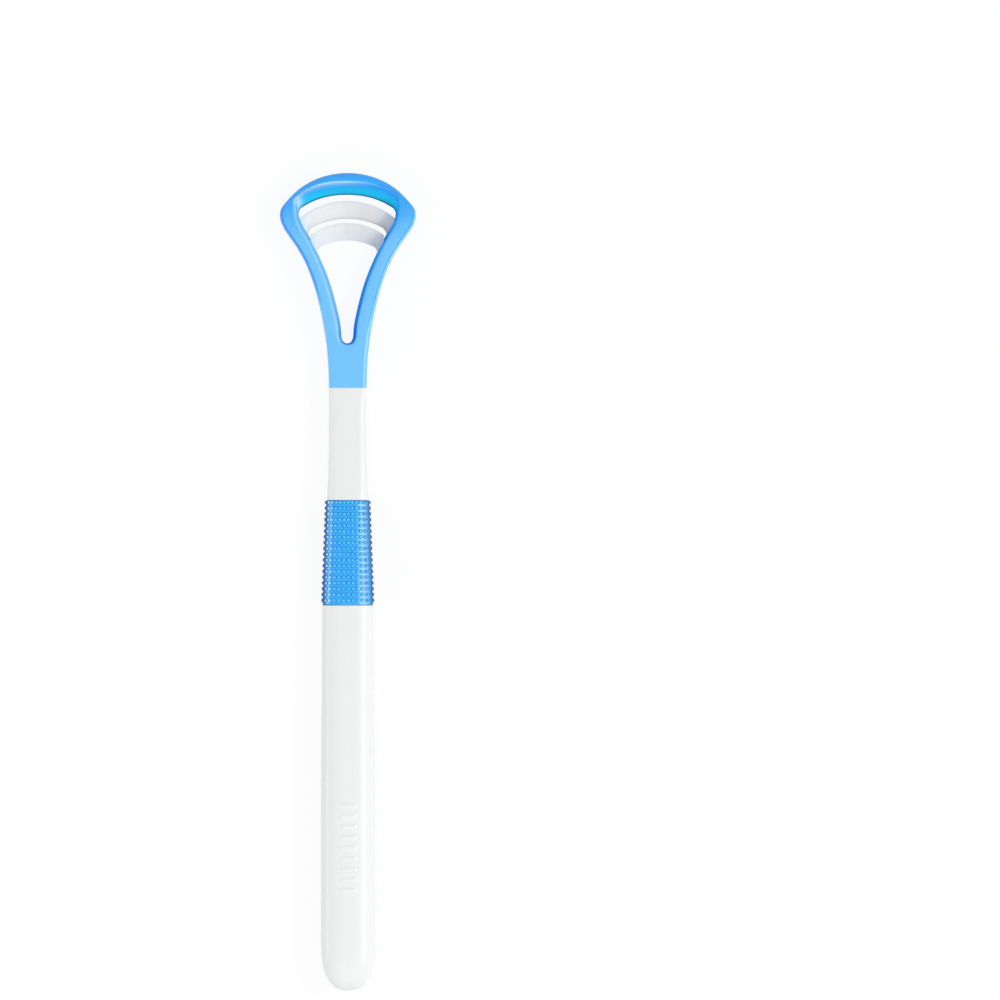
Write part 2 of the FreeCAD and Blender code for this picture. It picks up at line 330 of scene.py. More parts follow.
class StageSettings(bpy.types.PropertyGroup):
    """Camera, lights and floor."""

    frame_width: length("Frame width", "Width of the view on the tool", 208.1)
    frame_x: length("Frame x", "Sideways place of the view's middle", 31.68)
    frame_y: length("Frame y", "Lengthwise place of the view's middle", 16.99)
    frame_z: length("Frame z", "Height at which the view has its width", 4.0)
    lens: amount("Lens", "Focal length in millimetres", 250.0)
    side_view: angle("Side view", "How far the camera stands to the left of straight above", 3.2)
    floor_size: length("Floor size", "Width of the floor", 6000.0)
    floor_drop: length("Floor drop", "Gap between the floor and the tool's back", 0.02)
    floor_shadow: share("Floor shadow", "How strongly the floor keeps a shadow", 0.09)
    ambient: amount("Ambient", "Light from all round", 0.58)
    key_power: amount("Key power", "Power of the long lamp on the right, in watts", 1.5)
    tail_power: amount("Tail power", "Power of the lamp on the handle's side, in watts", 0.55)
    left_power: amount("Left power", "Power of the long lamp low on the left, in watts", 0.85)


class ScraperSettings(bpy.types.PropertyGroup):
    """All settings of the tool."""

    handle: PointerProperty(type=HandleSizes)
    grip: PointerProperty(type=GripSizes)
    head: PointerProperty(type=HeadSizes)
    slat: PointerProperty(type=SlatSizes)
    finish: PointerProperty(type=Finishes)
    stage: PointerProperty(type=StageSettings)


# Curves and sections

def between(first, last, part):
    return first + (last - first) * part


def smooth_step(value):
    value = np.clip(value, 0, 1)
    return value * value * (3 - 2 * value)


def step_up(value, start, width):
    """0 up to a start, 1 from a width past it, and a smooth change between them."""
    return smooth_step((value - start) / width)


def bell(value, middle, spread):
    """1 at a middle value, falling off on both sides."""
    return np.exp(-((value - middle) / spread) ** 2)


def spline_slopes(places, points, closed):
    """Slopes at each point that make the curve through the points bend evenly."""
    steps = np.diff(places)
    rises = np.diff(points, axis=0) / steps[:, None]
    matrix = np.zeros((len(points), len(points)))
    target = np.zeros_like(points)
    for k in range(1, len(points) - 1):
        matrix[k, k - 1:k + 2] = 1 / steps[k - 1], 2 / steps[k - 1] + 2 / steps[k], 1 / steps[k]
        target[k] = 3 * rises[k - 1] / steps[k - 1] + 3 * rises[k] / steps[k]
    matrix[0, :2] = 2, 1
    target[0] = 3 * rises[0]
    matrix[-1, -2:] = 1, 2
    target[-1] = 3 * rises[-1]
    if closed:
        matrix[0] = 0
        matrix[0, 0], matrix[0, -1] = 1, -1
        target[0] = 0
        matrix[-1] = 0
        matrix[-1, :2] = 2 / steps[0], 1 / steps[0]
        matrix[-1, -2:] = 1 / steps[-1], 2 / steps[-1]
        target[-1] = 3 * rises[-1] / steps[-1] + 3 * rises[0] / steps[0]
    return np.linalg.solve(matrix, target)


def hermite(places, points, slopes, at):
    """Points at distances along a curve that is given by points and slopes."""
    k = np.clip(np.searchsorted(places, at) - 1, 0, len(places) - 2)
    step = (places[k + 1] - places[k])[:, None]
    t = (at - places[k])[:, None] / step
    first = points[k] * (2 * t ** 3 - 3 * t ** 2 + 1)
    first += slopes[k] * step * (t ** 3 - 2 * t ** 2 + t)
    last = points[k + 1] * (3 * t ** 2 - 2 * t ** 3)
    last += slopes[k + 1] * step * (t ** 3 - t ** 2)
    return first + last


def distances(path):
    """How far along a path each of its points lies."""
    steps = np.linalg.norm(np.diff(path, axis=0), axis=1)
    return np.concatenate([[0], np.cumsum(steps)])


def unit(vectors):
    """Vectors made one long."""
    return vectors / np.linalg.norm(vectors, axis=-1, keepdims=True)


def smooth_curve(points, closed, count=4000):
    """A fine path along the smooth curve through a few points."""
    points = np.asarray(points, float)
    if closed:
        points = np.vstack([points, points[:1]])
    places = distances(points)
    slopes = spline_slopes(places, points, closed)
    return hermite(places, points, slopes, np.linspace(0, places[-1], count))


def monotone(keys, at):
    """Rows at places along the first column of key rows, smooth and without overshoot."""
    keys = np.asarray(keys, float)
    places, values = keys[:, 0], keys[:, 1:]
    steps = np.diff(places)[:, None]
    rises = np.diff(values, axis=0) / steps
    slopes = np.zeros_like(values)
    before, after = rises[:-1], rises[1:]
    same_way = before * after > 0
    with np.errstate(divide="ignore", invalid="ignore"):
        gentle = 2 * before * after / (before + after)
    slopes[1:-1] = np.where(same_way, gentle, 0)
    slopes[0], slopes[-1] = rises[0], rises[-1]
    return np.hstack([at[:, None], hermite(places, values, slopes, at)])


def along(path, shares):
    """Points at shares of the way along a path."""
    places = distances(path)
    return np.stack([np.interp(shares * places[-1], places, axis) for axis in path.T], axis=1)


def stretches(path, starts, counts):
    """Points along a path, with a count of even steps in each stretch from start to start."""
    points = []
    for start, stop, count in zip(starts, (*starts[1:], len(path) - 1), counts):
        points.append(along(path[start:stop + 1], np.linspace(0, 1, count, endpoint=False)))
    return np.vstack([*points, path[-1:]])


def bend(start, corner, end, count=24):
    """A round corner from start to end, tangent to the lines that meet at the corner."""
    start, corner, end = np.array(start), np.array(corner), np.array(end)
    leave = between(start, corner, ROUND_SHARE)
    arrive = between(end, corner, ROUND_SHARE)
    t = np.linspace(0, 1, count)[:, None]
    return ((1 - t) ** 3 * start + 3 * (1 - t) ** 2 * t * leave
            + 3 * (1 - t) * t ** 2 * arrive + t ** 3 * end)


def quarter_round(radius, count):
    """Steps round an edge: how far each goes past its start and how far it is drawn in."""
    angles = np.linspace(0, math.pi / 2, count + 1)[1:]
    return [(radius * math.sin(angle), radius * (1 - math.cos(angle))) for angle in angles]


def oval_row(y, width, bottom, top, flat):
    """A section: place, half width, bottom, top and the reach of the front and back corners."""
    reach_x = width / 2 * (1 - flat)
    reach_z = (top - bottom) / 2 * (1 - flat)
    return [y, width / 2, bottom, top, reach_x, reach_z, reach_x, reach_z]


def drawn_in(row, y, inset):
    """A section moved to y and drawn in all round."""
    reach = [max(value - inset, LEAST_REACH) for value in row[4:]]
    return [y, row[1] - inset, row[2] + inset, row[3] - inset, *reach]


def ring(row, count):
    """Points round a section, from the middle of its back, evenly spaced on each half."""
    y, half, bottom, top, front_x, front_z, back_x, back_z = row
    path = np.vstack([
        [(0, bottom)],
        bend((half - back_x, bottom), (half, bottom), (half, bottom + back_z)),
        bend((half, top - front_z), (half, top), (half - front_x, top)),
        [(0, top)]])
    right = along(path, np.linspace(0, 1, count // 2 + 1))
    left = right[-2:0:-1] * (-1, 1)
    round_trip = np.vstack([right, left])
    return np.stack([round_trip[:, 0], np.full(len(round_trip), y), round_trip[:, 1]], axis=1)


# Meshes

def grid_faces(rows, columns, start=0, round_columns=False, round_rows=False):
    """Quads of a grid of points that are numbered row by row."""
    faces = []
    for r in range(rows if round_rows else rows - 1):
        for c in range(columns if round_columns else columns - 1):
            next_r, next_c = (r + 1) % rows, (c + 1) % columns
            faces.append(tuple(
                start + row * columns + column
                for row, column in ((r, c), (r, next_c), (next_r, next_c), (next_r, c))))
    return faces


def tube_faces(rows, columns):
    """Quads of a tube of rings, with a face at each end."""
    last = (rows - 1) * columns
    ends = [tuple(range(columns)), tuple(range(last, last + columns))]
    return grid_faces(rows, columns, round_columns=True) + ends


def tidy_mesh(mesh):
    """Weld touching points, turn faces outwards, and shade smooth but for sharp edges."""
    work = bmesh.new()
    work.from_mesh(mesh)
    bmesh.ops.remove_doubles(work, verts=work.verts, dist=WELD)
    bmesh.ops.dissolve_degenerate(work, edges=work.edges, dist=WELD / 10)
    bmesh.ops.recalc_face_normals(work, faces=work.faces)
    for face in work.faces:
        face.smooth = True
    limit = math.radians(SHARP_DEGREES)
    for edge in work.edges:
        edge.smooth = len(edge.link_faces) != 2 or edge.calc_face_angle() < limit
    work.to_mesh(mesh)
    work.free()
    mesh.update()


def make_piece(name, points, faces, material, attributes=None):
    """A new object with a smooth mesh; attributes are numbers given point by point."""
    mesh = bpy.data.meshes.new(name)
    mesh.from_pydata([tuple(point) for point in points], [], faces)
    for label, values in (attributes or {}).items():
        layer = mesh.attributes.new(label, "FLOAT", "POINT")
        layer.data.foreach_set("value", np.asarray(values, np.float32))
    tidy_mesh(mesh)
    mesh.materials.append(material)
    piece = bpy.data.objects.new(name, mesh)
    bpy.context.scene.collection.objects.link(piece)
    return piece


def settle(piece, node):
    """Let a piece ride with the tool and stand for its solid, which is hidden."""
    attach(piece, BODY)
    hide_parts(node)


# Materials

class Value:
    """A number that varies over a surface. Sums and products of values add Math nodes."""

    def __init__(self, finish, socket):
        self.finish = finish
        self.socket = socket

    def math(self, operation, *terms, clamp=False):
        """A Math node of the terms that are given."""
        made = self.finish.node(
            "ShaderNodeMath", dict(enumerate(terms)), operation=operation, use_clamp=clamp)
        return Value(self.finish, made.outputs[0])

    def __add__(self, other):
        return self.math("ADD", self, other)

    def __radd__(self, other):
        return self.math("ADD", other, self)

    def __sub__(self, other):
        return self.math("SUBTRACT", self, other)

    def __rsub__(self, other):
        return self.math("SUBTRACT", other, self)

    def __mul__(self, other):
        return self.math("MULTIPLY", self, other)

    def __rmul__(self, other):
        return self.math("MULTIPLY", other, self)

    def sway(self, reach):
        """A noise's swing about its middle, scaled by a reach."""
        return (self - 0.5) * reach

    def within(self, low, high):
        """0 below low, 1 above high, and a smooth change between them."""
        share_up = self.math("DIVIDE", self - low, high - low, clamp=True)
        return share_up * share_up * (3 - 2 * share_up)

    def larger(self, other):
        return self.math("MAXIMUM", self, other)


class Finish:
    """The nodes of one material or world."""

    noise_roughness = 0.55

    def __init__(self, owner):
        owner.use_nodes = True
        self.owner = owner
        self.tree = owner.node_tree
        self.tree.nodes.clear()

    def node(self, kind, sockets=None, **settings):
        """Add a node: its settings are set first, then its sockets' values or links."""
        made = self.tree.nodes.new(kind)
        for name, value in settings.items():
            setattr(made, name, value)
        for name, value in (sockets or {}).items():
            socket = self.find(made.inputs, name)
            if isinstance(value, Value):
                value = value.socket
            if isinstance(value, bpy.types.NodeSocket):
                self.tree.links.new(value, socket)
            else:
                socket.default_value = value
        return made

    def find(self, sockets, name):
        """A socket by its place, its identifier or its name."""
        if isinstance(name, int):
            return sockets[name]
        for socket in sockets:
            if socket.identifier == name:
                return socket
        return sockets[name]

    def place(self, stretch=(1, 1, 1)):
        """Object coordinates, scaled along each axis."""
        source = self.node("ShaderNodeTexCoord").outputs["Object"]
        if stretch == (1, 1, 1):
            return source
        return self.node("ShaderNodeMapping", {"Vector": source, "Scale": stretch}).outputs[0]

    def axis(self, vector, name):
        made = self.node("ShaderNodeSeparateXYZ", {"Vector": vector})
        return Value(self, made.outputs[name])

    def attribute(self, name):
        made = self.node("ShaderNodeAttribute", attribute_name=name)
        return Value(self, made.outputs["Fac"])

    def noise(self, vector, scale, detail):
        made = self.node("ShaderNodeTexNoise", {
            "Vector": vector, "Scale": scale, "Detail": detail,
            "Roughness": self.noise_roughness})
        return Value(self, self.find(made.outputs, "Fac"))

    def mix(self, factor, first, second):
        """A colour between two colours."""
        sockets = {"Factor_Float": factor, "A_Color": opaque(first), "B_Color": opaque(second)}
        made = self.node("ShaderNodeMix", sockets, data_type="RGBA")
        return self.find(made.outputs, "Result_Color")

    def blend(self, factor, first, second):
        """A shader between two shaders."""
        return self.node("ShaderNodeMixShader", {0: factor, 1: first, 2: second}).outputs[0]

    def bump(self, height, strength):
        sockets = {"Height": height, "Strength": strength, "Distance": GRAIN_DEPTH}
        return self.node("ShaderNodeBump", sockets).outputs[0]

    def shader(self, sockets):
        return self.node("ShaderNodeBsdfPrincipled", sockets).outputs[0]

    def output(self, shader):
        self.node("ShaderNodeOutputMaterial", {"Surface": shader})
        return self.owner


def opaque(tone):
    """A plain colour with its alpha; a colour that comes from a node stays as it is."""
    return tone if isinstance(tone, bpy.types.NodeSocket) else (*tone, 1.0)


def white_finish(name, light, shade, roughness, painted_shade_drift):
    """White moulded plastic with faint clouds, flow lines and grain.

    Drift is how fast a painted shade grows to the right, for each metre; below zero it grows to
    the left.
    """
    finish = Finish(bpy.data.materials.new(name))
    place = finish.place()
    clouds = finish.noise(place, scale=110, detail=3)
    flow = finish.noise(finish.place((1100, 45, 1100)), scale=1, detail=2)
    grain = finish.noise(place, scale=5200, detail=2)
    # The mottle mixes random cooler patches with a painted shade that grows across the piece
    mottle_and_painted_shade = (clouds * 0.6 + flow * 0.4) * 0.5 + finish.axis(place, "X") * painted_shade_drift
    return finish.output(finish.shader({
        "Base Color": finish.mix(mottle_and_painted_shade.within(-0.1, 0.6), light, shade),
        "Roughness": roughness + grain.sway(0.10) + clouds.sway(0.08),
        "IOR": 1.49,
        "Subsurface Weight": 0.12,
        "Subsurface Radius": (1.0, 0.95, 0.9),
        "Subsurface Scale": 0.8 * MM,
        "Normal": finish.bump(grain * 0.6 + flow * 0.4, strength=0.06),
    }))


def grip_finish(colours):
    """Blue soft rubber with a fine dry grain: painted light on the studs' tops, painted shade
    round their feet, on the sides and on the right shoulder's studs, and painted highlights on
    both shoulders.
    """
    finish = Finish(bpy.data.materials.new("blue_soft_rubber"))
    place = finish.place()
    height = finish.attribute("stud")
    side = finish.attribute("side")
    clouds = finish.noise(place, scale=260, detail=3)
    grain = finish.noise(place, scale=7000, detail=2)
    # Painted light on the studs' tops
    painted_tip_light = (height * 0.9 + clouds.sway(0.35)).within(0.55, 0.95)
    # Painted shade round the feet of the studs
    painted_flank_shade = height.within(0.0, 0.15) * (1 - height.within(0.35, 0.8)) * 0.4
    # Painted shade on the sides and on the right shoulder's studs
    painted_shade = (side * 0.9).larger(finish.attribute("dusk") * 0.6)
    # Painted highlights: glints on the left shoulder's studs and a sheen between the studs of the
    # right shoulder
    glint = finish.attribute("glint").within(0.45, 1.0)
    pale = (finish.attribute("sheen") * 0.45).larger(glint)
    base = colours.grip
    for factor, tone in (
            (painted_tip_light, colours.grip_tip_light), (painted_flank_shade, colours.grip_flank_shade),
            (painted_shade, colours.grip_side_shade), (pale, colours.grip_glint)):
        base = finish.mix(factor, base, tone)
    uneven = grain.sway(0.05) + clouds.sway(0.06)
    return finish.output(finish.shader({
        "Base Color": base,
        "Roughness": 0.25 + uneven - height * 0.1 + side * 0.4,
        "IOR": 1.5,
        "Specular IOR Level": 0.85,
        "Subsurface Weight": 0.12,
        "Subsurface Radius": (0.3, 0.7, 1.0),
        "Subsurface Scale": 0.6 * MM,
        "Normal": finish.bump(grain, strength=0.04),
    }))


def head_finish(colours):
    """Blue milky plastic: lighter near the joint, deeper at the crown, with painted light and
    shade: a lit left wall and a shaded right wall, shade on the left rim and the lip, and light
    on the ramp, the ridge and the left corner.
    """
    finish = Finish(bpy.data.materials.new("blue_milky_plastic"))
    place = finish.place()
    clouds = finish.noise(place, scale=140, detail=3)
    swirl = finish.noise(finish.place((420, 160, 420)), scale=1, detail=3)
    grain = finish.noise(place, scale=6000, detail=2)
    up = (finish.axis(place, "Y") + swirl.sway(6 * MM)).within(*DEEPER_Y)
    left = 1 - finish.axis(place, "X").within(*LEFT_X)
    faded = 1 - finish.axis(place, "X").within(*FADE_X)

    # The outside: its face, painted shade on the left arm's rim or a painted dark line of shade
    # beside the right arm's rim, and a painted highlight along the ridge
    face = finish.mix(up, colours.head_low, colours.head_high)
    # Painted shade: the left rim, and a dark line beside the right rim
    rim = finish.attribute("rim") * left * 0.85 + finish.attribute("line") * (1 - left) * 0.7
    rim_shaded = finish.mix(rim, face, colours.head_rim_shade)
    ramp = finish.attribute("ramp")
    # Painted highlight along the ridge, fading out to the right
    ridge = finish.attribute("ridge") * (left + (faded - left) * ramp)
    lit_ridge = finish.mix(ridge, rim_shaded, colours.head_ridge_highlight)

    # The opening: a painted lit left wall and shaded right wall, painted light low on the ramp, a
    # painted pool of light in the left corner and painted shade on the lip
    depth = finish.attribute("depth")
    # Painted light on the left wall and painted shade on the others
    painted_wall_tone = finish.mix(left, colours.head_wall_shade, colours.head_left_wall_light)
    # Painted light low on the ramp
    deep = finish.mix(ramp, painted_wall_tone, colours.head_ramp_light)
    inside = finish.mix(depth.within(0.08, 0.5 + ramp * 0.15), lit_ridge, deep)
    # Painted pool of light in the left corner
    painted_corner_light = finish.mix(finish.attribute("corner") * left * 0.9, inside, colours.head_corner_light)
    # Painted shade on the lip
    base = finish.mix((depth * ramp).within(0.78, 0.92), painted_corner_light, colours.head_lip_shade)

    relief = finish.bump(grain * 0.5 + swirl * 0.5, strength=0.05)
    outside = finish.shader({
        "Base Color": base,
        "Roughness": 0.2 + clouds.sway(0.08) + grain.sway(0.06),
        "IOR": 1.5,
        "Specular IOR Level": 0.35,
        "Subsurface Weight": 0.15,
        "Subsurface Radius": (0.25, 0.7, 1.2),
        "Subsurface Scale": 0.8 * MM,
        "Normal": relief,
    })
    wall = finish.shader({
        "Base Color": base,
        "Roughness": 0.45 + clouds.sway(0.1),
        "IOR": 1.5,
        "Specular IOR Level": 0.0,
        "Normal": relief,
    })
    return finish.output(finish.blend(depth.within(0.05, 0.15), outside, wall))


# Pieces

class SCRAPER_OT_handle(bpy.types.Operator):
    """Build the white handle and neck in one moulding"""

    bl_idname = "scraper.handle"
    bl_label = "Handle"

    # Points round a section and sections along each stretch
    ring_points = 216
    tail_steps = 56
    plain_steps = 14
    rib_steps = 180
    shoulder_steps = 48
    neck_steps = 60
    edge_steps = 5

    # The first section's share of the tail, a rib's fullness, and how high the front starts
    tail_start = 0.012
    rib_power = 0.8
    front_share = 0.7

    def execute(self, context):
        settings = context.scene.scraper
        sizes, colours = settings.handle, settings.finish
        rows = (
            self.body_rows(sizes) + self.waist_rows(settings.grip)
            + self.neck_rows(sizes, settings.head))
        rings = np.array([ring(row, self.ring_points) for row in rows])
        rings[:, :, 2] += self.rib_rise(sizes, rings)
        faces = tube_faces(len(rows), self.ring_points)
        # A negative drift paints shade on the left side of the handle
        material = white_finish(
            "white_plastic", colours.handle, colours.handle_patches_and_painted_shade, roughness=0.35, painted_shade_drift=-30)
        piece = make_piece("handle_moulding", rings.reshape(-1, 3), faces, material)
        settle(piece, "handle")
        return {"FINISHED"}

    def tail_row(self, sizes, part):
        """A section in the rounded tail, at a share of the tail's length."""
        fullness = (1 - (1 - part) ** sizes.tail_power) ** (1 / sizes.tail_power)
        bottom = sizes.thickness / 2 * (1 - fullness)
        top = sizes.thickness - bottom
        y = TAIL_Y + sizes.tail_length * part
        return oval_row(y, sizes.width * fullness, bottom, top, sizes.handle_flat)

    def body_rows(self, sizes):
        """Sections from the tail to the shoulder below the grip."""
        parts = np.linspace(self.tail_start, 1, self.tail_steps)[:-1] ** 2
        tail = [self.tail_row(sizes, part) for part in parts]
        start = TAIL_Y + sizes.tail_length
        middle = between(TAIL_Y, GRIP_START_Y, 0.5)
        later = between(middle, GRIP_START_Y, 0.5)
        width = between(sizes.width, sizes.shoulder_width, 0.5)
        top = between(sizes.thickness, sizes.shoulder_top, 0.5)
        shoulder = oval_row(
            GRIP_START_Y, sizes.shoulder_width, 0, sizes.shoulder_top, sizes.shoulder_flat)
        keys = [
            oval_row(start, sizes.width, 0, sizes.thickness, sizes.handle_flat),
            oval_row(middle, sizes.width, 0, sizes.thickness, sizes.handle_flat),
            oval_row(later, width, 0, top, sizes.handle_flat),
            shoulder]
        rib_low = TAIL_Y + sizes.rib_start - 2 * sizes.rib_radius
        rib_high = rib_low + (sizes.rib_count - 1) * sizes.rib_pitch + 4 * sizes.rib_radius
        end = GRIP_START_Y - sizes.edge_rounding
        places = np.concatenate([
            np.linspace(start, rib_low, self.plain_steps, endpoint=False),
            np.linspace(rib_low, rib_high, self.rib_steps, endpoint=False),
            np.linspace(rib_high, end, self.shoulder_steps)])
        body = [list(row) for row in monotone(keys, places)]
        steps = quarter_round(sizes.edge_rounding, self.edge_steps)
        edge = [drawn_in(body[-1], end + run, inset) for run, inset in steps]
        return tail + body + edge

    def waist_rows(self, grip):
        """Sections of the waist that the sleeve sits on."""
        return [
            sleeve_row(grip, GRIP_START_Y, grip.wall),
            sleeve_row(grip, GRIP_END_Y, grip.wall)]

    def neck_rows(self, sizes, head):
        """Sections from the throat above the grip to the joint with the head."""
        neck_length = JOINT_Y - GRIP_END_Y
        throat = oval_row(
            GRIP_END_Y, sizes.throat_width, sizes.arch_rise, sizes.throat_top, sizes.throat_flat)
        keys = [throat]
        for part, narrowing in NECK_SHARES:
            width = between(sizes.throat_width, sizes.neck_width, narrowing)
            top = between(sizes.throat_top, HEAD_TOP_Z, part)
            bottom = sizes.arch_rise * (1 - part ** 2)
            y = GRIP_END_Y + neck_length * part
            keys.append(oval_row(y, width, bottom, top, sizes.neck_flat))
        back = head.back_rounding
        keys.append([
            JOINT_Y, sizes.neck_width / 2, 0, HEAD_TOP_Z,
            sizes.joint_reach, sizes.joint_drop, back, back])
        start = GRIP_END_Y + sizes.edge_rounding
        end = JOINT_Y - head.joint_chamfer
        body = [list(row) for row in monotone(keys, np.linspace(start, end, self.neck_steps))]
        steps = quarter_round(sizes.edge_rounding, self.edge_steps)
        edge = [drawn_in(body[0], start - run, inset) for run, inset in reversed(steps)]
        return edge + body + [drawn_in(body[-1], JOINT_Y, head.joint_chamfer)]

    def rib_rise(self, sizes, rings):
        """How far each point is raised by the ribs on the front."""
        x, y, z = rings[:, :, 0], rings[:, :, 1], rings[:, :, 2]
        first = TAIL_Y + sizes.rib_start
        nearest = np.clip(np.round((y - first) / sizes.rib_pitch), 0, sizes.rib_count - 1)
        off_y = y - first - nearest * sizes.rib_pitch
        off_x = np.maximum(np.abs(x) - (sizes.rib_width / 2 - sizes.rib_radius), 0)
        away = np.minimum(np.hypot(off_x, off_y) / sizes.rib_radius, 1)
        rise = sizes.rib_height * (0.5 + 0.5 * np.cos(math.pi * away)) ** self.rib_power
        return np.where(z > sizes.thickness * self.front_share, rise, 0)


def sleeve_row(grip, y, inset):
    """A section of the sleeve at y, drawn in all round by an inset."""
    part = (y - GRIP_START_Y) / (GRIP_END_Y - GRIP_START_Y)
    width = between(grip.lower_width, grip.upper_width, part) - 2 * inset
    bottom = between(grip.lower_bottom, grip.upper_bottom, part) + inset
    top = between(grip.lower_top, grip.upper_top, part) - inset
    return oval_row(y, width, bottom, top, grip.flat)


class SCRAPER_OT_grip(bpy.types.Operator):
    """Build the blue grip sleeve with its studs"""

    bl_idname = "scraper.grip"
    bl_label = "Grip sleeve"

    # Points from stud to stud, and sections round an end
    steps = 16
    edge_steps = 6

    # Masks by the sideways lean of the surface, for painted shade on the sides and on the right
    # shoulder's studs and painted highlights on both shoulders: where each starts or is
    # strongest, and its width
    side_lean = (0.64, 0.3)
    glint_lean = (-0.6, 0.2)
    sheen_lean = (0.48, 0.18)
    painted_stud_shade_lean = (0.3, 0.25)

    def execute(self, context):
        grip = context.scene.scraper.grip
        count = grip.columns * self.steps
        rounding = grip.edge_rounding
        low, high = GRIP_START_Y + rounding, GRIP_END_Y - rounding
        step = grip.row_pitch / self.steps
        top_row = GRIP_END_Y - grip.first_row
        first = math.ceil((low - top_row) / step)
        last = math.floor((high - top_row) / step)
        inner = top_row + np.arange(first, last + 1) * step
        places = np.unique(np.concatenate([[low], inner, [high]]))
        edge = quarter_round(rounding, self.edge_steps)
        lower = [(low - run, inset) for run, inset in reversed(edge)]
        upper = [(high + run, inset) for run, inset in edge]
        outside = lower + [(y, 0) for y in places] + upper
        rings = [ring(sleeve_row(grip, y, inset), count) for y, inset in outside]
        raised, outer_masks = self.raise_studs(grip, np.array(rings))
        bore = [ring(sleeve_row(grip, y, grip.wall), count) for y in (GRIP_END_Y, GRIP_START_Y)]
        rings = np.concatenate([raised, bore])
        masks = {}
        for name, values in outer_masks.items():
            masks[name] = np.concatenate([values, np.zeros((len(bore), count))]).ravel()
        faces = grid_faces(len(rings), count, round_columns=True, round_rows=True)
        material = grip_finish(context.scene.scraper.finish)
        piece = make_piece("grip_studded", rings.reshape(-1, 3), faces, material, masks)
        settle(piece, "grip_sleeve")
        return {"FINISHED"}

    def raise_studs(self, grip, rings):
        """Raise a stud at each crossing; also masks of the studs, of the painted shade on the
        sides and of the painted highlights and shade on the shoulders.
        """
        count = rings.shape[1]
        ahead = np.roll(rings, -1, axis=1) - np.roll(rings, 1, axis=1)
        level = np.zeros(ahead.shape[:2])
        outward = unit(np.stack([ahead[:, :, 2], level, -ahead[:, :, 0]], axis=2))
        around = np.linalg.norm(np.roll(rings, -1, axis=1) - rings, axis=2).sum(axis=1)
        column = np.arange(count) / self.steps
        off_round = (column - np.round(column))[None, :] * (around / grip.columns)[:, None]
        below = GRIP_END_Y - grip.first_row - rings[:, :, 1]
        row = np.clip(np.round(below / grip.row_pitch), 0, grip.rows - 1)
        off_long = below - row * grip.row_pitch
        away = np.minimum(np.hypot(off_round, off_long) / grip.stud_radius, 1)
        height = 1 - away ** grip.stud_fullness
        lean, front = outward[:, :, 0], outward[:, :, 2] > 0
        raised = rings + outward * (height * grip.stud_height)[:, :, None]
        return raised, {
            "stud": height,
            "side": step_up(np.abs(lean), *self.side_lean),
            "glint": height * bell(lean, *self.glint_lean) * front,
            "sheen": (1 - height) * bell(lean, *self.sheen_lean) * front,
            "dusk": height * step_up(lean, *self.painted_stud_shade_lean) * front,
        }


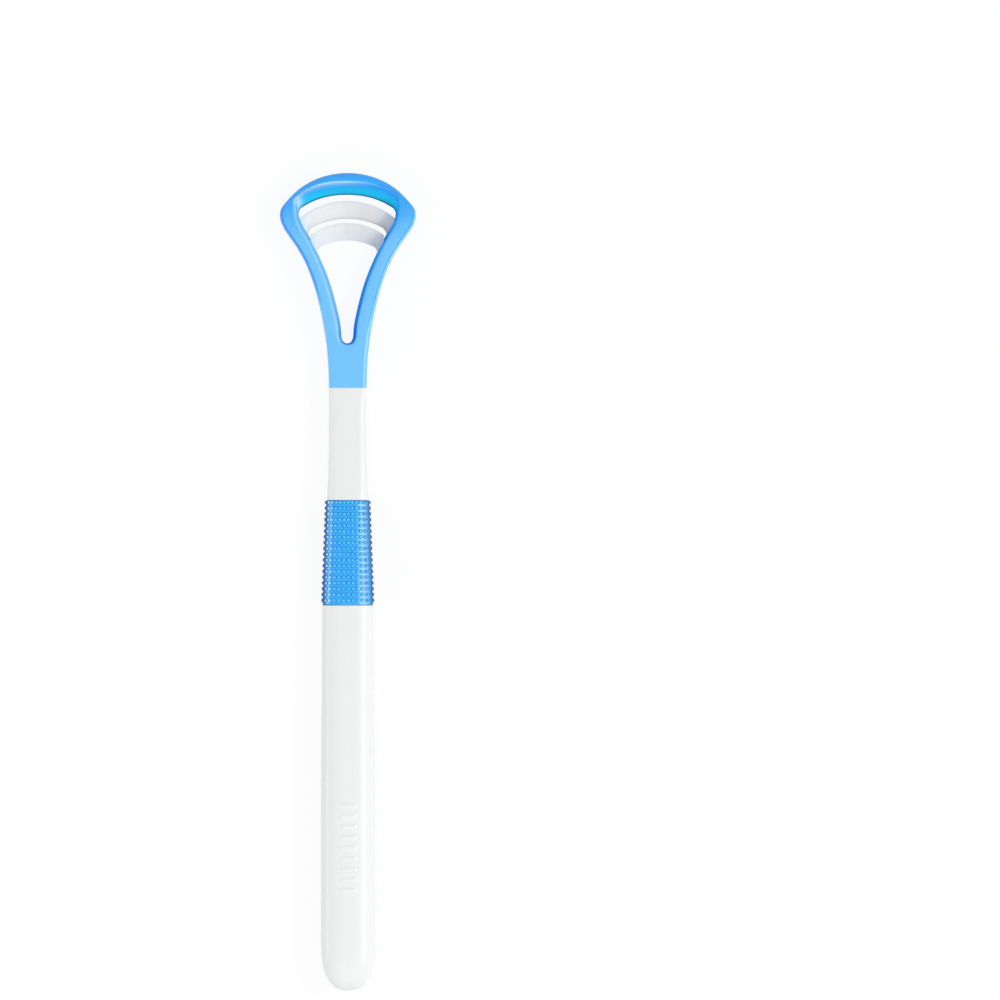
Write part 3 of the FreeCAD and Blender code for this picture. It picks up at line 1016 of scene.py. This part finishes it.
class SCRAPER_OT_head(bpy.types.Operator):
    """Build the blue head frame with its rim, ramp and opening"""

    bl_idname = "scraper.head"
    bl_label = "Head frame"

    # Stations along the outline
    collar_steps = 26
    arm_steps = 130
    crown_steps = 110

    # Rows of points across the shell and down the opening's wall
    back_rows = 4
    turn_rows = 8
    side_rows = 4
    slope_rows = 4
    ease_rows = 5
    groove_rows = 4
    face_rows = 14
    edge_rows = 9
    wall_steps = 12
    lip_rows = 7

    # Depth down the wall, from 0 at the face to 1 at the back, where its rounded edges end
    edge_depth = 0.06
    lip_depth = 0.93

    # How fast the front changes along an arm or the crown, and the length it takes at the joint
    split_rate = 8
    narrow_rate = 3
    calm_rate = 3.4
    joint_ease = 3 * MM

    # The most of the top bar's width that the rim and its groove may take
    rim_room = 0.85

    # Masks along an arm or the crown, for the ramp and for painted light and shade: where each
    # starts or is strongest, and its width
    ramp_on_arm = (0.93, 0.07)
    ramp_on_crown = (-0.0875, 0.25)
    ridge_on_crown = (-0.0625, 0.125)
    corner_on_crown = (0.09, 0.09)
    rim_on_arm = (0.22, 0.25)
    rim_off_crown = (0, 0.15)
    line_on_arm = (0, 1 / 3)
    line_off_crown = (0.1, 0.25)

    # Masks by depth down the wall, for the ridge's painted highlight and the corner's painted
    # light: where each starts to change and over what depth
    crest_fades = ((0, 0.07), (0, 0.45))
    edge_fade = (0, 0.05)
    edge_strength = 0.6
    glow_on = (0, 0.2)
    glow_off = (0.6, 0.3)

    def execute(self, context):
        settings = context.scene.scraper
        sizes = settings.head
        outline = self.outer_path(sizes, settings.handle.neck_width)
        front, front_out = self.opening_path(sizes, 1)
        back, back_out = self.opening_path(sizes, 0)
        points, faces, masks = self.half_frame(sizes, outline, front, front_out, back, back_out)
        material = head_finish(settings.finish)
        piece = make_piece("head_fan", points, faces, material, masks)
        mirror = piece.modifiers.new("Other half", "MIRROR")
        mirror.use_axis = (True, False, False)
        mirror.use_clip = True
        mirror.merge_threshold = MIRROR_WELD
        settle(piece, "head_frame")
        return {"FINISHED"}

    def outer_path(self, sizes, neck_width):
        """Right half of the head's outline, at even steps along its collar, arm and crown."""
        collar_half, head_half = neck_width / 2, sizes.width / 2
        widest_y = TOP_Y - sizes.crown_height
        points = [(collar_half, JOINT_Y)]
        for side, up in ARM_SHARES:
            points.append((between(collar_half, head_half, side), between(JOINT_Y, widest_y, up)))
        for side, up in CROWN_SHARES:
            points.append((side * head_half, widest_y + up * sizes.crown_height))
        mirrored = [(-x, y) for x, y in reversed(points[:-1])]
        path = smooth_curve(points + mirrored, False)
        path = path[:len(path) // 2]
        path[-1, 0] = 0
        foot_y = JOINT_Y + sizes.web_length - sizes.foot_flare
        foot = int(np.argmax(path[:, 1] >= foot_y))
        widest = int(np.argmax(path[:, 0]))
        return stretches(
            path, (0, foot, widest), (self.collar_steps, self.arm_steps, self.crown_steps))

    def opening_points(self, sizes, part):
        """Half the opening's outline from its foot up: part is 0 at the back, 1 at the front."""
        foot_half = sizes.slot_width / 2 + sizes.side_flare * part
        wide_half = sizes.width / 2 - sizes.corner_wall + sizes.side_flare * part
        arm_y = JOINT_Y + sizes.web_length - sizes.foot_flare * part + foot_half
        lip_y = TOP_Y - sizes.bar_width
        wide_y = lip_y - sizes.opening_crown + sizes.corner_flare * part
        crown = lip_y + sizes.ramp_flare * part - wide_y
        points = []
        for degrees in FOOT_ANGLES:
            angle = math.radians(degrees)
            points.append((foot_half * math.cos(angle), arm_y + foot_half * math.sin(angle)))
        for side, up in FRONT_ARM_SHARES if part else BACK_ARM_SHARES:
            points.append((between(foot_half, wide_half, side), between(arm_y, wide_y, up)))
        for side, up in FRONT_CROWN_SHARES if part else BACK_CROWN_SHARES:
            points.append((side * wide_half, wide_y + up * crown))
        return points

    def opening_path(self, sizes, part):
        """Right half of the opening's outline at even steps, and the way out of it there."""
        points = self.opening_points(sizes, part)
        mirrored = [(-x, y) for x, y in reversed(points[1:-1])]
        path = smooth_curve(points + mirrored, True)
        path = path[:len(path) // 2 + 1]
        path[0, 0] = path[-1, 0] = 0
        widest = int(np.argmax(path[:, 0]))
        even = stretches(path, (0, widest), (self.arm_steps, self.crown_steps))
        ahead = np.gradient(even, axis=0)
        out = unit(np.stack([ahead[:, 1], -ahead[:, 0]], axis=1))
        out[0], out[-1] = (0, -1), (0, 1)
        return even, out

    def half_frame(self, sizes, outline, front, front_out, back, back_out):
        """Points, faces and masks of the right half of the head."""
        count = len(outline)
        station = np.arange(count) - self.collar_steps
        collar = station < 0
        past_corner = (station - self.arm_steps) / self.crown_steps
        arm_share = np.clip(station / self.arm_steps, 0, 1)
        crown_share = np.clip(past_corner, 0, 1)

        # How the front changes from the joint to the crown
        split = smooth_step(arm_share * self.split_rate)
        calm = smooth_step(crown_share * self.calm_rate)
        from_joint = step_up(outline[:, 1], JOINT_Y, self.joint_ease)
        rise = sizes.face_rise * from_joint * (1 - calm)
        groove = sizes.groove_depth * from_joint * (1 - calm)
        narrow = 1 - sizes.rim_narrowing * smooth_step(arm_share * self.narrow_rate)
        rim = self.rim_profile(sizes, calm, narrow)

        # The way in from the outline, level with the joint at the collar's end
        ahead = np.gradient(outline, axis=0)
        inward = unit(np.stack([-ahead[:, 1], ahead[:, 0] * from_joint], axis=1))
        inward[-1] = (0, -1)

        # The face's inner border: the middle line along the collar, then the opening's edges
        crown_calm = calm[~collar]
        rounding = between(sizes.inner_rounding, sizes.ridge_rounding, crown_calm)[:, None]
        inner_drop = between(sizes.inner_drop, sizes.ridge_rounding, crown_calm)[:, None]
        shares = np.linspace(0, 1, self.collar_steps, endpoint=False)[:, None]
        front_inner, back_inner = (
            np.vstack([between(np.array([0, JOINT_Y]), border[0], shares), border])
            for border in (front + front_out * rounding, back + back_out * sizes.lip_rounding))

        # Where the bar is narrow, the rim is drawn closer to the outline and the face never folds
        room = ((front_inner - outline) * inward).sum(axis=1)
        rim_reach, rim_drop = rim
        wanted = rim_reach[:, -1] + sizes.groove_width
        fit = np.clip(self.rim_room * room / wanted, 0, 1)[:, None]
        rim = (rim_reach * fit, rim_drop)

        # The chamfer at the collar's end
        top = np.full(count, HEAD_TOP_Z)
        bottom = np.zeros(count)
        top[0] -= sizes.joint_chamfer
        bottom[0] += sizes.joint_chamfer
        outline = outline.copy()
        outline[0, 0] -= sizes.joint_chamfer
        outline[1] = (outline[0, 0] + sizes.joint_chamfer, JOINT_Y + sizes.joint_chamfer)
        front_inner[1, 1] = back_inner[1, 1] = outline[1, 1]

        rows = self.shell_rows(
            sizes, outline, inward, front_inner, back_inner, top, bottom,
            rim, fit, rise, groove, split)
        shell = np.stack(rows, axis=1)
        across = shell.shape[1]
        wall_rows, wall_depth = self.wall_rows(sizes, front, back, shell[~collar], inner_drop)
        wall = np.stack(wall_rows, axis=1)
        points = np.vstack([shell.reshape(-1, 3), wall.reshape(-1, 3)])
        joint_face = tuple(range(across))
        wall_faces = grid_faces(len(front), wall.shape[1], count * across)
        faces = grid_faces(count, across) + [joint_face] + wall_faces
        masks = self.masks(arm_share, past_corner, across, rim_reach.shape[1], wall_depth)
        return points, faces, masks

    def masks(self, arm_share, past_corner, across, rim_rows, wall_depth):
        """Where the finish changes and where light and shade are painted, on the shell's points
        and then on the wall's.
        """
        crown_share = np.clip(past_corner, 0, 1)
        opening = np.arange(len(arm_share)) >= self.collar_steps

        # Along the outline
        ramp = step_up(crown_share, *self.ramp_on_crown) * step_up(arm_share, *self.ramp_on_arm)
        ridge = step_up(past_corner, *self.ridge_on_crown)
        corner = bell(past_corner, *self.corner_on_crown)
        rim_end = step_up(crown_share, *self.rim_off_crown)
        rim = step_up(arm_share, *self.rim_on_arm) * (1 - rim_end)
        line_end = step_up(crown_share, *self.line_off_crown)
        line = step_up(arm_share, *self.line_on_arm) * (1 - line_end)

        # Across the shell: the rim's painted shade with its corner, the painted dark line of
        # shade at the groove and the painted highlight on the face's inner edge
        face_start = across - self.face_rows - self.groove_rows
        band, groove, brow = np.zeros((3, across))
        band[face_start - rim_rows - 2:face_start + 1] = 1
        band[face_start + 1] = 0.5
        groove[face_start - 3:face_start + self.groove_rows] = 1
        brow[-2:] = 0.2, 1

        # Down the wall; its last row lies on the back, which is not inside the opening
        fades = [step_up(wall_depth, *fade) for fade in self.crest_fades]
        crest = 1 - np.mean(fades, axis=0)
        edge = self.edge_strength * (1 - step_up(wall_depth, *self.edge_fade))
        glow = step_up(wall_depth, *self.glow_on) * (1 - step_up(wall_depth, *self.glow_off))
        sunk = wall_depth.copy()
        sunk[-1] = 0

        def joined(on_shell, on_wall):
            return np.concatenate([
                np.broadcast_to(on_shell, (len(opening), across)).ravel(),
                np.broadcast_to(on_wall, (opening.sum(), len(wall_depth))).ravel()])

        brow_strength = opening * between(self.edge_strength, 1, ridge)
        return {
            "depth": joined(0, sunk),
            "ramp": joined(ramp[:, None], ramp[opening][:, None]),
            "ridge": joined(
                np.outer(brow_strength, brow), between(edge, crest, ridge[opening][:, None])),
            "rim": joined(np.outer(rim, band), 0),
            "line": joined(np.outer(line, groove), 0),
            "corner": joined(0, np.outer(corner[opening], glow)),
        }

    def rim_profile(self, sizes, calm, narrow):
        """Steps in from the side and drops below the face at the front edge, by station."""
        turn = np.linspace(0, math.pi / 2 - sizes.rim_tilt, self.turn_rows)
        reach = np.tile(sizes.rim_corner * (1 - np.cos(turn)), (len(narrow), 1))
        climb = np.tile(sizes.rim_corner * np.sin(turn), (len(narrow), 1))
        slope = np.outer(narrow, np.linspace(0, 1, self.slope_rows)[1:]) * sizes.rim_width
        reach = np.hstack([reach, reach[:, -1:] + slope])
        climb = np.hstack([climb, climb[:, -1:] + slope * math.tan(sizes.rim_tilt)])
        ease = sizes.rim_tilt - np.linspace(0, sizes.rim_tilt, self.ease_rows)[1:]
        run = sizes.rim_ease * (math.sin(sizes.rim_tilt) - np.sin(ease))
        lift = sizes.rim_ease * (np.cos(ease) - math.cos(sizes.rim_tilt))
        reach = np.hstack([reach, reach[:, -1:] + run])
        climb = np.hstack([climb, climb[:, -1:] + lift])
        arc = np.linspace(0, math.pi / 2, reach.shape[1])
        round_reach = sizes.crown_rounding * (1 - np.cos(arc))
        round_drop = sizes.crown_rounding * (1 - np.sin(arc))
        part = calm[:, None]
        return between(reach, round_reach, part), between(climb[:, -1:] - climb, round_drop, part)

    def shell_rows(self, sizes, outline, inward, front_inner, back_inner, top, bottom,
                   rim, fit, rise, groove, split):
        """Rows of points from the back's inner border, round the outside, to the front's."""
        def row(plan, height):
            return np.column_stack([plan, height])

        reach, drop = rim
        shoulder = top - rise
        back = sizes.back_rounding
        rows = []
        start = outline + inward * back
        for t in np.linspace(0, 1, self.back_rows)[:-1]:
            rows.append(row(between(back_inner, start, t), bottom))
        for turn in np.linspace(0, math.pi / 2, self.turn_rows):
            plan = outline + inward * back * (1 - math.sin(turn))
            rows.append(row(plan, bottom + back * (1 - math.cos(turn))))
        for t in np.linspace(0, 1, self.side_rows)[1:-1]:
            rows.append(row(outline, between(bottom + back, shoulder - drop[:, 0], t)))
        for k in range(reach.shape[1]):
            rows.append(row(outline + inward * reach[:, k:k + 1], shoulder - drop[:, k]))
        for t in np.linspace(0, 1, self.groove_rows + 1)[1:]:
            plan = outline + inward * (reach[:, -1:] + sizes.groove_width * fit * t)
            rows.append(row(plan, shoulder - groove * np.sin(math.pi * t)))
        start = rows[-1][:, :2]
        for t in np.linspace(0, 1, self.face_rows + 1)[1:]:
            dip = (1 - split) * (1 - t) ** 2 + split * (2 * t - 1) ** 2
            rows.append(row(between(start, front_inner, t), top - rise * dip))
        return rows

    def wall_rows(self, sizes, front, back, shell, drop):
        """Rows of points from the face down the opening's wall, and each row's depth."""
        def rounded(starts, corners, ends, count):
            bends = [bend(a, b, c, count) for a, b, c in zip(starts, corners, ends)]
            return list(np.stack(bends, axis=1))

        face_end, back_end = shell[:, -1], shell[:, 0]
        edge = np.column_stack([front, face_end[:, 2]])
        lip = np.column_stack([back, back_end[:, 2]])
        down = unit(lip - edge)
        wall_start = edge + down * drop
        wall_end = lip - down * sizes.lip_rounding
        rows = rounded(face_end, edge, wall_start, self.edge_rows)
        depth = list(np.linspace(0, self.edge_depth, self.edge_rows))
        for t in np.linspace(0, 1, self.wall_steps)[1:-1]:
            rows.append(between(wall_start, wall_end, t))
            depth.append(between(self.edge_depth, self.lip_depth, t))
        rows += rounded(wall_end, lip, back_end, self.lip_rows)
        depth += list(np.linspace(self.lip_depth, 1, self.lip_rows))
        return rows, np.array(depth)


class SCRAPER_OT_slats(bpy.types.Operator):
    """Build the two white curved slats across the opening"""

    bl_idname = "scraper.slats"
    bl_label = "Slats"

    # Sections along a slat, points round each corner and shares along each side of a section
    stations = 161
    corner_points = 6
    side_shares = np.linspace(0.2, 0.8, 4)[:, None]

    # Where the roots start to flare and where the flare stops, as shares of half the span
    flare_start = 0.9
    flare_limit = 1.5

    def execute(self, context):
        settings = context.scene.scraper
        slat, colours = settings.slat, settings.finish
        lip_y = TOP_Y - settings.head.bar_width
        upper_y = lip_y - slat.lip_gap
        lower_y = upper_y - slat.height - slat.gap
        # A positive drift paints the right arm's shadow on the right ends of the slats
        material = white_finish(
            "white_slat_plastic", colours.slat, colours.slat_patches_and_painted_shade, roughness=0.32, painted_shade_drift=30)
        self.build(slat, "slat_upper", "upper_blade", material,
                   upper_y, slat.upper_radius, slat.upper_span, slat.upper_reach)
        self.build(slat, "slat_lower", "lower_blade", material,
                   lower_y, slat.lower_radius, slat.lower_span, slat.lower_reach)
        return {"FINISHED"}

    def build(self, slat, name, node, material, upper_y, radius, span, reach):
        """One slat: a leaning section swept across the opening."""
        rings = np.array([
            self.section(slat, x, upper_y, radius, span)
            for x in np.linspace(-reach, reach, self.stations)])
        faces = tube_faces(len(rings), rings.shape[1])
        piece = make_piece(name, rings.reshape(-1, 3), faces, material)
        settle(piece, node)

    def section(self, slat, x, upper_y, radius, span):
        """Points round the slat's section at x, with rounded edges."""
        past = (abs(x) / (span / 2) - self.flare_start) / (1 - self.flare_start)
        past = min(max(past, 0), self.flare_limit)
        arch = radius - math.sqrt(radius ** 2 - x ** 2)
        high = upper_y - arch
        low = upper_y - slat.height - arch
        corners = np.array([
            (high, slat.front),
            (high - slat.front_land, slat.front),
            (low - slat.root_flare * past ** 2, slat.recess),
            (low + slat.back_land, slat.recess)])
        cuts = (slat.edge_rounding, slat.edge_rounding, slat.tip_rounding, slat.edge_rounding)
        path = []
        for k in range(4):
            corner, before, after = corners[k], corners[k - 1], corners[(k + 1) % 4]
            to_before, to_after = unit(before - corner), unit(after - corner)
            start, end = corner + to_before * cuts[k], corner + to_after * cuts[k]
            path.append(bend(start, corner, end, self.corner_points))
            stop = after - to_after * cuts[(k + 1) % 4]
            path.append(between(end, stop, self.side_shares))
        path = np.vstack(path)
        return np.column_stack([np.full(len(path), x), path])


class SCRAPER_OT_stage(bpy.types.Operator):
    """Set up the white floor, the soft lights and the camera"""

    bl_idname = "scraper.stage"
    bl_label = "Stage"

    # Each lamp in metres: its place, its target, its size along and across, and its power's key
    lamps = {
        "Key": ((0.40, 0.01, 0.445), (0, 0.01, 0), (0.55, 0.06), "key_power"),
        "Tail": ((0, -0.42, 0.43), (0, 0.02, 0), (0.4, 0.2), "tail_power"),
        "Left": ((-0.6, 0, 0.15), (0, 0, 0), (0.5, 0.12), "left_power"),
    }

    # The floor's two tones, and how far beside the tool its shadow fades out
    floor_tones = ((0.90, 0.90, 0.90), (0.94, 0.94, 0.94))
    shadow_fade = (16 * MM, 45 * MM)
    white = (1, 1, 1, 1)

    def execute(self, context):
        stage = context.scene.scraper.stage
        scene = context.scene
        self.floor(scene, stage)
        self.world(scene, stage)
        for name, (place, target, size, power) in self.lamps.items():
            self.lamp(scene, name, place, target, size, getattr(stage, power))
        self.camera(scene, stage)
        scene.view_settings.view_transform = "Standard"
        return {"FINISHED"}

    def seen_directly(self, finish):
        """1 for rays from the camera, off gloss and through clear parts, and 0 for others."""
        path = finish.node("ShaderNodeLightPath").outputs
        seen = Value(finish, path["Is Camera Ray"])
        for name in ("Is Glossy Ray", "Is Transmission Ray"):
            seen = seen.larger(Value(finish, path[name]))
        return seen

    def floor(self, scene, stage):
        """A pale floor that looks white and keeps a faint shadow near the tool."""
        half = stage.floor_size / 2
        mesh = bpy.data.meshes.new("floor")
        corners = [(-half, -half), (half, -half), (half, half), (-half, half)]
        mesh.from_pydata([(x, y, -stage.floor_drop) for x, y in corners], [], [(0, 1, 2, 3)])
        floor = bpy.data.objects.new("floor", mesh)
        scene.collection.objects.link(floor)
        finish = Finish(bpy.data.materials.new("pale_floor"))
        place = finish.place()
        tone = finish.mix(finish.noise(place, scale=40, detail=2), *self.floor_tones)
        lit = finish.node("ShaderNodeBsdfDiffuse", {"Color": tone}).outputs[0]
        plain = {"Color": self.white, "Strength": 1.0}
        white = finish.node("ShaderNodeEmission", plain).outputs[0]
        across = finish.axis(place, "X")
        far = across.math("ABSOLUTE", across).within(*self.shadow_fade)
        shown = self.seen_directly(finish) * (1 - stage.floor_shadow * (1 - far))
        mesh.materials.append(finish.output(finish.blend(shown, lit, white)))

    def world(self, scene, stage):
        """Even light from all round, seen as plain white."""
        scene.world = bpy.data.worlds.new("studio")
        finish = Finish(scene.world)
        ambient, white = (
            finish.node("ShaderNodeBackground", {"Color": self.white, "Strength": strength})
            for strength in (stage.ambient, 1.0))
        shown = finish.blend(self.seen_directly(finish), ambient.outputs[0], white.outputs[0])
        finish.node("ShaderNodeOutputWorld", {"Surface": shown})

    def lamp(self, scene, name, place, target, size, power):
        """A soft rectangular lamp that faces a target."""
        light = bpy.data.lights.new(name, "AREA")
        light.shape = "RECTANGLE"
        light.size, light.size_y = size
        light.energy = power
        lamp = bpy.data.objects.new(name, light)
        scene.collection.objects.link(lamp)
        lamp.location = place
        facing = (Vector(target) - Vector(place)).to_track_quat("-Z", "Y")
        lamp.rotation_euler = facing.to_euler()

    def camera(self, scene, stage):
        """A long lens above the tool, a little to its left."""
        data = bpy.data.cameras.new("camera")
        data.lens = stage.lens
        camera = bpy.data.objects.new("camera", data)
        scene.collection.objects.link(camera)
        distance = stage.frame_width * data.lens / data.sensor_width
        camera.location = (
            stage.frame_x - distance * math.sin(stage.side_view),
            stage.frame_y,
            stage.frame_z + distance * math.cos(stage.side_view))
        camera.rotation_euler = (0, -stage.side_view, 0)
        scene.camera = camera


class SCRAPER_PT_panel(bpy.types.Panel):
    """Lists the tool's pieces and their sizes"""

    bl_idname = "SCRAPER_PT_panel"
    bl_label = "Tongue Scraper"
    bl_space_type = "VIEW_3D"
    bl_region_type = "UI"
    bl_category = "Scraper"

    def draw(self, context):
        settings = context.scene.scraper
        groups = (
            ("handle", "scraper.handle"),
            ("grip", "scraper.grip"),
            ("head", "scraper.head"),
            ("slat", "scraper.slats"),
            ("finish", None),
            ("stage", "scraper.stage"),
        )
        for name, operator in groups:
            box = self.layout.box()
            if operator:
                box.operator(operator)
            group = getattr(settings, name)
            for field in group.__annotations__:
                box.prop(group, field)


CLASSES = (
    HandleSizes, GripSizes, HeadSizes, SlatSizes, Finishes, StageSettings, ScraperSettings,
    SCRAPER_OT_handle, SCRAPER_OT_grip, SCRAPER_OT_head, SCRAPER_OT_slats, SCRAPER_OT_stage,
    SCRAPER_PT_panel,
)


def register():
    for kind in CLASSES:
        bpy.utils.register_class(kind)
    bpy.types.Scene.scraper = PointerProperty(type=ScraperSettings)


def unregister():
    del bpy.types.Scene.scraper
    for kind in reversed(CLASSES):
        bpy.utils.unregister_class(kind)


def main():
    register()
    bpy.ops.scraper.stage()
    bpy.ops.scraper.handle()
    bpy.ops.scraper.grip()
    bpy.ops.scraper.head()
    bpy.ops.scraper.slats()


if __name__ == "__main__":
    main()
